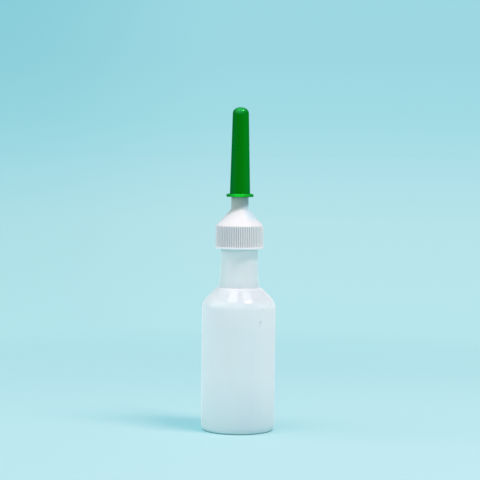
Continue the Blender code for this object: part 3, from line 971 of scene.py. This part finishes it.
def capForm(t, r, z):
    # Outside and above the bead, the radius is the lesser of the profile's and the flute's.
    # Inside, the thread stands in from the skirt's bore.
    c = cap
    first, firstDepth = c["ribOutline"][0]
    shares = np.array([share for share, depth in c["ribOutline"]] + [1 + first])
    depths = np.array([depth for share, depth in c["ribOutline"]] + [firstDepth])
    place = (t / tau * c["ribs"] - first) % 1 + first
    flute = ribTipRadius - c["ribHeight"] * np.interp(place, shares, depths)
    aboveBead = z > capLow.z + c["beadHeight"] + 0.01 * mm
    ribbed = aboveBead & (r > c["skirtRadius"] + 0.5 * mm)
    r = np.where(ribbed, np.minimum(r, flute), r)
    onBore = np.abs(r - c["skirtRadius"]) < 0.02 * mm
    return np.where(onBore, r - threadRidge(t, z, c["thread"]), r), z


def capFinish():
    # White with a flow pattern, times painted light and shade across the cap, with a painted shadow up
    # its spigot, a painted lighter bead and greyer floors in the flutes
    c = cap
    f = Finish("capPolyethylene")

    def above(band, *limits):
        # 0 below a band of heights over the cap's foot and 1 above it, or the limits given
        return f.ranged(height, capLow.z + band[0], capLow.z + band[1], *limits)

    across, _, height = f.axes()
    cloud = f.noise(*c["clouds"])
    flow = f.noise(*c["flow"])
    radius = f.radius()
    flute = f.ranged(radius, fluteFloorRadius, ribTipRadius, 1, 0)
    onSkirt = f.math("MULTIPLY", above(c["ribsStart"]), above(c["ribsEnd"], 1, 0))
    outside = f.ranged(radius, fluteFloorRadius - 0.3 * mm, fluteFloorRadius - 0.1 * mm)
    fluteGreyShare = f.math("MULTIPLY", f.math("MULTIPLY", flute, onSkirt), outside)
    colour = f.times(f.mixed(cloud, *c["shades"]), f.banded(across, c["coneLightAcross"]))
    colour = f.mixed(f.math("MULTIPLY", onSkirt, outside), colour, f.banded(across, c["ribShadeAcross"]))
    colour = f.mixed(above(c["lipEnd"], 1, 0), colour, c["lipLightColour"])
    colour = f.mixed(f.math("MULTIPLY", fluteGreyShare, c["fluteGreyStrength"]), colour, c["fluteGreyColour"])
    flangeShadowHeight = f.math("MULTIPLY_ADD", across, c["flangeShadowSlant"], height)
    colour = f.times(colour, f.banded(flangeShadowHeight, c["flangeShadowOnSpigot"]))
    side = f.ranged(f.math("DIVIDE", across, radius), *c["coneShadeSide"])
    shade = f.math("MULTIPLY", above(c["coneShadeStart"]), side)
    colour = f.mixed(shade, colour, f.times(colour, c["coneShade"]))
    plugFoot = capHigh.z - c["plugHeight"]
    colour = f.mixed(f.ranged(height, plugFoot - 0.3 * mm, plugFoot), colour, c["plugColour"])
    scuff = f.ranged(f.noise(*c["scuffs"]), *c["scuffLevels"])
    f.bump(flow, c["flowDepth"])
    f.bump(f.noise(*c["grain"]), c["grainDepth"])
    scuffed = f.math("MULTIPLY", scuff, c["scuffRoughness"])
    rough = f.math("ADD", f.ranged(flow, 0.3, 0.7, *c["roughness"]), scuffed)
    return f.done({
        "Base Color": colour,
        "Roughness": rough,
        "IOR": 1.51,
        "Subsurface Weight": 0.35,
        "Subsurface Scale": c["scatter"],
        "Subsurface Radius": evenScatter,
    })


capPiece = turnedSurface("ribbedCap", capProfile(), capAngles(), capForm)
dressed(capPiece, capFinish(), "cap", "screw_cap")


# Tip cover

coverLow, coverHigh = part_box("tip_cover")

cover = {
    "baseRadius": 6.2 * mm,
    "topRadius": 4.92 * mm,
    "wall": 1.12 * mm,
    "domeHeight": 4.0 * mm,
    "flangeRadius": 8.3 * mm,
    "flangeThickness": 1.8 * mm,
    "flangeTopRound": 0.85 * mm,
    "flangeUnderRound": 0.6 * mm,
    "mouthRound": 0.25 * mm,
    "rootRound": 0.5 * mm,
    "sideStep": 4.0 * mm,
    "gateRadius": 0.7 * mm,
    "gateWidth": 0.25 * mm,
    "gateDepth": 0.12 * mm,
    "segments": 144,
    # Painted light and shade across the side: darker left of the middle, lighter on the right, and bluer
    # at both edges
    "sideLightAcross": [
        (-6.2 * mm, (0.0, 0.175, 0.038)),
        (-4.2 * mm, (0.0, 0.170, 0.016)),
        (-1.8 * mm, (0.0, 0.148, 0.003)),
        (1.6 * mm, (0.0, 0.172, 0.004)),
        (4.0 * mm, (0.0, 0.220, 0.008)),
        (6.2 * mm, (0.0, 0.230, 0.035)),
    ],
    # Painted light across the flange: bright at its middle, darker at both ends
    "flangeLightAcross": [
        (-8.3 * mm, (0.002, 0.22, 0.035)),
        (-5.3 * mm, (0.008, 0.36, 0.035)),
        (-2.6 * mm, (0.01, 0.64, 0.04)),
        (1.2 * mm, (0.01, 0.65, 0.04)),
        (3.0 * mm, (0.01, 0.44, 0.03)),
        (8.3 * mm, (0.004, 0.29, 0.035)),
    ],
    "flangeStart": (6.3 * mm, 6.9 * mm),  # radii over which these tones take over
    "flangeEdge": (7.8 * mm, 8.25 * mm),
    "scuffColour": (0.03, 0.45, 0.07),
    "scuffStrength": 0.12,
    "scuffRoughness": 0.08,
    "scuffs": (0.5 * mm, 6.0, (1, 1, 1), 0.7),
    "scuffLevels": (0.55, 0.7),
    "clouds": (5 * mm, 3.0),
    "cloudTones": [(0.93, 0.93, 0.93), (1.0, 1.0, 1.0)],
    "drawnLines": (0.45 * mm, 4.0, (1, 1, 0.06)),
    "lineDepth": 0.012 * mm,
    "ripples": (1.8 * mm, 2.0),
    "rippleDepth": 0.015 * mm,
    # Painted highlight: the dome is paler just under its top, as (place, size, softness), and it mirrors
    # more there
    "domeHighlightPatch": ((-0.4 * mm, -3.2 * mm, coverHigh.z - 0.9 * mm), 4.9 * mm, 0.7),
    "domeHighlightColour": (0.018, 0.345, 0.08),
    "mirrorPatch": ((0.3 * mm, -3.2 * mm, coverHigh.z - 1.5 * mm), 3.8 * mm, 0.5),
    "roughness": (0.16, 0.24),
    "smoothTop": (coverHigh.z - 6.0 * mm, coverHigh.z - 3.0 * mm),
    "topShare": 0.45,  # what the smoother top keeps of the roughness
    "mirror": (0.02, 0.38, 0.8, 0.0),  # facing from and to, and its level before and after
    "mirrorTint": (0.03, 1.0, 0.02, 1.0),
}


def coverProfile():
    # From the axis under the dome's top down the inside to the mouth, round the flange, up the
    # tapered side and over the dome. Both faces of the dome are quarters of an ellipse.
    c = cover
    low, top = coverLow.z, coverHigh.z
    domeBase = top - c["domeHeight"]
    taper = (c["baseRadius"] - c["topRadius"]) / (domeBase - low)
    sideRadius = c["baseRadius"] - taper * c["flangeThickness"]
    under = arc((0, domeBase), c["topRadius"] - c["wall"], c["domeHeight"] - c["wall"], 90, 0, 14)
    over = arc((0, domeBase), c["topRadius"], c["domeHeight"], 0, 90, 24)
    sides = filleted([
        (c["topRadius"] - c["wall"], domeBase, 0),
        (c["baseRadius"] - c["wall"], low, c["mouthRound"]),
        (c["flangeRadius"], low, c["flangeUnderRound"]),
        (c["flangeRadius"], low + c["flangeThickness"], c["flangeTopRound"]),
        (sideRadius, low + c["flangeThickness"], c["rootRound"]),
        (c["topRadius"], domeBase, 0),
    ], 7)
    under[0, 0] = over[-1, 0] = 0
    profile = np.vstack([under, sides[1:-1], over])
    return divided(profile, low + 3 * mm, domeBase - 1 * mm, c["sideStep"])


def coverForm(t, r, z):
    # The gate mark is a shallow ring on top of the dome, a bell across
    c = cover
    onTop = z > coverHigh.z - 0.5 * mm
    ring = np.exp(-(((r - c["gateRadius"]) / c["gateWidth"]) ** 2))
    return r, z - np.where(onTop, c["gateDepth"] * ring, 0)


def greenFinish():
    # Opaque green with painted light and shade across the side and the flange and a painted highlight
    # under the dome's top, faintly clouded, with fine lines drawn along it and a green-tinted mirror
    # that fades towards the outline
    c = cover
    f = Finish("coverGreen")
    across, _, height = f.axes()
    radius = f.radius()
    cloud = f.noise(*c["clouds"])
    drawn = f.noise(*c["drawnLines"])
    scuff = f.ranged(f.noise(*c["scuffs"]), *c["scuffLevels"])
    colour = f.mixed(f.near(*c["domeHighlightPatch"]), f.banded(across, c["sideLightAcross"]), c["domeHighlightColour"])
    colour = f.mixed(f.ranged(radius, *c["flangeStart"]), colour, f.banded(across, c["flangeLightAcross"]))
    colour = f.times(colour, f.mixed(cloud, *c["cloudTones"]))
    scuffedEdge = f.math("MULTIPLY", scuff, f.ranged(radius, *c["flangeEdge"]))
    colour = f.mixed(f.math("MULTIPLY", scuffedEdge, c["scuffStrength"]), colour, c["scuffColour"])
    f.bump(drawn, c["lineDepth"])
    f.bump(f.noise(*c["ripples"]), c["rippleDepth"])
    scuffed = f.math("MULTIPLY", scuff, c["scuffRoughness"])
    rough = f.math("ADD", f.ranged(drawn, 0.3, 0.7, *c["roughness"]), scuffed)
    rough = f.math("MULTIPLY", rough, f.ranged(height, *c["smoothTop"], 1.0, c["topShare"]))
    gloss = f.math("MAXIMUM", f.edgeGloss(*c["mirror"]), f.near(*c["mirrorPatch"]))
    return f.done({
        "Base Color": colour,
        "Roughness": rough,
        "IOR": 1.5,
        "Specular Tint": c["mirrorTint"],
        "Specular IOR Level": gloss,
    })


coverPiece = turnedSurface("greenTipCover", coverProfile(), evenAngles(cover["segments"]), coverForm)
dressed(coverPiece, greenFinish(), "cover", "tip_cover")


# Floor, backdrop and light

stage = {
    "rings": [0.0, 0.2, 1.0, 5.0, 30.0],
    "thickness": 0.02,
    "segments": 96,
    "litColours": [(0.522, 0.46, 0.46), (0.512, 0.45, 0.45)],
    "glow": (0.0, 0.335, 0.375),  # the blue-green that the floor keeps in its own shadow
    "contactRadius": (20.2 * mm, 22.2 * mm),  # over which the painted shadow line under the heel ends
    "contactShadowColour": (0.12, 0.30, 0.32),
    "contactGlow": 0.03,
    "farRadius": (0.22, 0.6),  # metres over which the lit floor gives way to the plain backdrop
    # Backdrop colours down the picture, by the share of the way from the horizon to the foot
    "floorTones": [
        (0.0, (0.397, 0.727, 0.799)),
        (0.1, (0.432, 0.746, 0.816)),
        (0.26, (0.474, 0.771, 0.824)),
        (0.54, (0.480, 0.788, 0.842)),
        (0.7, (0.474, 0.793, 0.848)),
        (1.0, (0.522, 0.816, 0.874)),
    ],
    # Backdrop colours above the horizon, by the sine of their height
    "skyTones": [
        (0.0, (0.397, 0.727, 0.799)),
        (0.016, (0.364, 0.712, 0.780)),
        (0.053, (0.338, 0.683, 0.761)),
        (0.09, (0.335, 0.685, 0.763)),
        (0.3, (0.30, 0.65, 0.73)),
        (1.0, (0.25, 0.45, 0.50)),
    ],
    # The soft light of the room, by the sine of its height
    "roomTones": [
        (0.0, (0.85, 0.83, 0.88)),
        (0.3, (0.75, 0.77, 0.83)),
        (0.6, (0.50, 0.56, 0.63)),
        (0.85, (0.12, 0.28, 0.35)),
    ],
    "roomLean": (-0.21, 0.0, 0.0),  # the way that the room is brighter, and by how much
    # The backdrop is a shade darker towards its left, most of all at the top of the picture
    "leftShade": (0.74, 0.90, 0.91),
    "shadeReach": -0.15,  # the sine of the angle to the left at which it is full
    "shadeAtHorizon": 0.58,
    "shadeClimb": 4.3,  # gained with the sine of the height
    "shadeFall": -0.55,  # lost from the horizon to the object's foot
}

# Each lamp's name, the two directions from the object between which it stretches, its width in
# metres, its power in watts and its colour
lamps = [
    ("keySoftbox", (0.26, -0.37, 0.90), (0.52, -0.16, 0.85), 0.2, 6.0, (1.0, 0.87, 0.84)),
    ("rightSoftbox", (0.415, -0.26, 0.871), (0.28, -0.033, 0.957), 0.37, 0.95, (1.0, 0.97, 0.98)),
    ("sideSoftbox", (-0.90, -0.12, 0.26), (-0.62, 0.02, 0.78), 0.8, 2.0, (1.0, 0.97, 0.97)),
    ("leftSoftbox", (-0.29, -0.42, 0.86), (-0.19, -0.06, 0.975), 0.38, 1.5, (1.0, 0.97, 0.98)),
]
lampAim = (0.0, 0.0, 0.09)
lampDistance = 1.1  # metres from there


def seenRays(tree):
    # 1 for what the camera sees, straight or in a mirror or through glass
    path = tree.nodes.new("ShaderNodeLightPath").outputs
    total = path["Is Camera Ray"]
    for other in ("Is Glossy Ray", "Is Transmission Ray"):
        total = worked(tree, "MAXIMUM", total, path[other])
    return total


def shaded(tree, colour, across, strength):
    # The colour times the left shade, which grows smoothly to the given strength
    amount = worked(tree, "MULTIPLY", ranged(tree, across, 0.0, stage["shadeReach"]), strength)
    return blended(tree, amount, colour, stage["leftShade"], "MULTIPLY")


def floorProfile():
    # Rings of the top, from the edge inwards, after the underside of a thin round plate
    edge, under = stage["rings"][-1], -stage["thickness"]
    return np.array([(0, under), (edge, under)] + [(ring, 0) for ring in stage["rings"][::-1]])


def floorFinish():
    # Near the object the floor is lit and takes its shadow. Further off, and only as seen or
    # mirrored, it has the plain colour that the backdrop has there. For a camera a metre away,
    # the share of the way from the horizon down to the object's foot is 1 / (1 + radius).
    s = stage
    f = Finish("paleFloor")
    nodes, links = f.tree.nodes, f.tree.links
    radius = f.radius()
    share = f.math("DIVIDE", 1.0, f.math("ADD", radius, 1.0))
    across = f.math("MULTIPLY", f.axes()[0], share)
    strength = f.math("MULTIPLY_ADD", share, s["shadeFall"], s["shadeAtHorizon"])
    plain = nodes.new("ShaderNodeEmission")
    backdrop = shaded(f.tree, ramp(f.tree, share, s["floorTones"]), across, strength)
    links.new(backdrop, plain.inputs["Color"])
    lit = f.mixed(f.ranged(f.noise(0.9 * mm, 3.0), 0.3, 0.7), *s["litColours"])
    # Painted contact shadow: the floor under the heel is dark, with little glow
    contact = f.ranged(radius, *s["contactRadius"], 1.0, 0.0)
    f.done({
        "Base Color": f.mixed(contact, lit, s["contactShadowColour"]),
        "Emission Color": (*s["glow"], 1),
        "Emission Strength": f.ranged(radius, *s["contactRadius"], s["contactGlow"], 1.0),
        "Specular IOR Level": 0.0,
        "Roughness": 0.9,
    })
    mix = nodes.new("ShaderNodeMixShader")
    far = f.math("MULTIPLY", f.ranged(radius, *s["farRadius"]), seenRays(f.tree))
    for socket, value in zip(mix.inputs, (far, f.shader.outputs[0], plain.outputs[0])):
        links.new(value, socket)
    links.new(mix.outputs[0], nodes["Material Output"].inputs["Surface"])
    return f.material


floor = turnedSurface("floor", floorProfile(), evenAngles(stage["segments"]))
floor.data.materials.append(floorFinish())


def softbox(name, start, end, width, power, colour):
    # A rectangle lamp that faces the object, stretching between two directions from it
    first, last = Vector(start).normalized(), Vector(end).normalized()
    out = (first + last).normalized()
    along = (last - first).normalized()
    lamp = bpy.data.lights.new(name, "AREA")
    lamp.shape = "RECTANGLE"
    lamp.size, lamp.size_y = width, (last - first).length * lampDistance
    lamp.energy, lamp.color = power, colour
    piece = bpy.data.objects.new(name, lamp)
    bpy.context.scene.collection.objects.link(piece)
    turn = Matrix((along.cross(out), along, out)).transposed().to_4x4()
    piece.matrix_world = Matrix.Translation(Vector(lampAim) + out * lampDistance) @ turn
    piece.visible_camera = False


def makeRoom():
    # The light is the room's tone times 1 plus the dot product of the way and the lean. What
    # the camera sees, or a mirror shows it, is the backdrop instead.
    world = bpy.data.worlds.new("studio")
    bpy.context.scene.world = world
    world.use_nodes = True
    tree = world.node_tree
    way = tree.nodes.new("ShaderNodeTexCoord").outputs["Generated"]
    split = tree.nodes.new("ShaderNodeSeparateXYZ")
    feed(tree, split.inputs[0], way)
    across, _, rise = split.outputs
    light = ramp(tree, rise, stage["roomTones"])
    lean = vectorWorked(tree, "DOT_PRODUCT", way, stage["roomLean"])
    light = vectorWorked(tree, "MULTIPLY_ADD", light, lean, light)
    climb = worked(tree, "MULTIPLY_ADD", rise, stage["shadeClimb"], stage["shadeAtHorizon"])
    strength = worked(tree, "MINIMUM", climb, 1.0)
    backdrop = shaded(tree, ramp(tree, rise, stage["skyTones"]), across, strength)
    colour = blended(tree, seenRays(tree), light, backdrop)
    feed(tree, tree.nodes["Background"].inputs["Color"], colour)


for lampValues in lamps:
    softbox(*lampValues)
makeRoom()
bpy.context.scene.view_settings.view_transform = "Standard"


# Camera

view = {
    "place": (0.0, -1.0, 0.1727),
    "aim": (0.0003, 0.0, 0.1162),
    "focusPixels": 1643.4,
    "picturePixels": 480,
    "sensorWidth": 36.0,
    "leanDeg": 0.62,
}


def makeCamera():
    # Its right and up axes are turned by the lean about the line of sight
    forward = (Vector(view["aim"]) - Vector(view["place"])).normalized()
    right = forward.cross(Vector((0, 0, 1))).normalized()
    up = right.cross(forward)
    lean = math.radians(view["leanDeg"])
    side = right * math.cos(lean) + up * math.sin(lean)
    top = up * math.cos(lean) - right * math.sin(lean)
    data = bpy.data.cameras.new("camera")
    data.sensor_width = view["sensorWidth"]
    data.lens = view["focusPixels"] / view["picturePixels"] * data.sensor_width
    camera = bpy.data.objects.new("camera", data)
    bpy.context.scene.collection.objects.link(camera)
    turn = Matrix((side, top, -forward)).transposed().to_4x4()
    camera.matrix_world = Matrix.Translation(view["place"]) @ turn
    bpy.context.scene.camera = camera


makeCamera()
print("stage and camera placed")
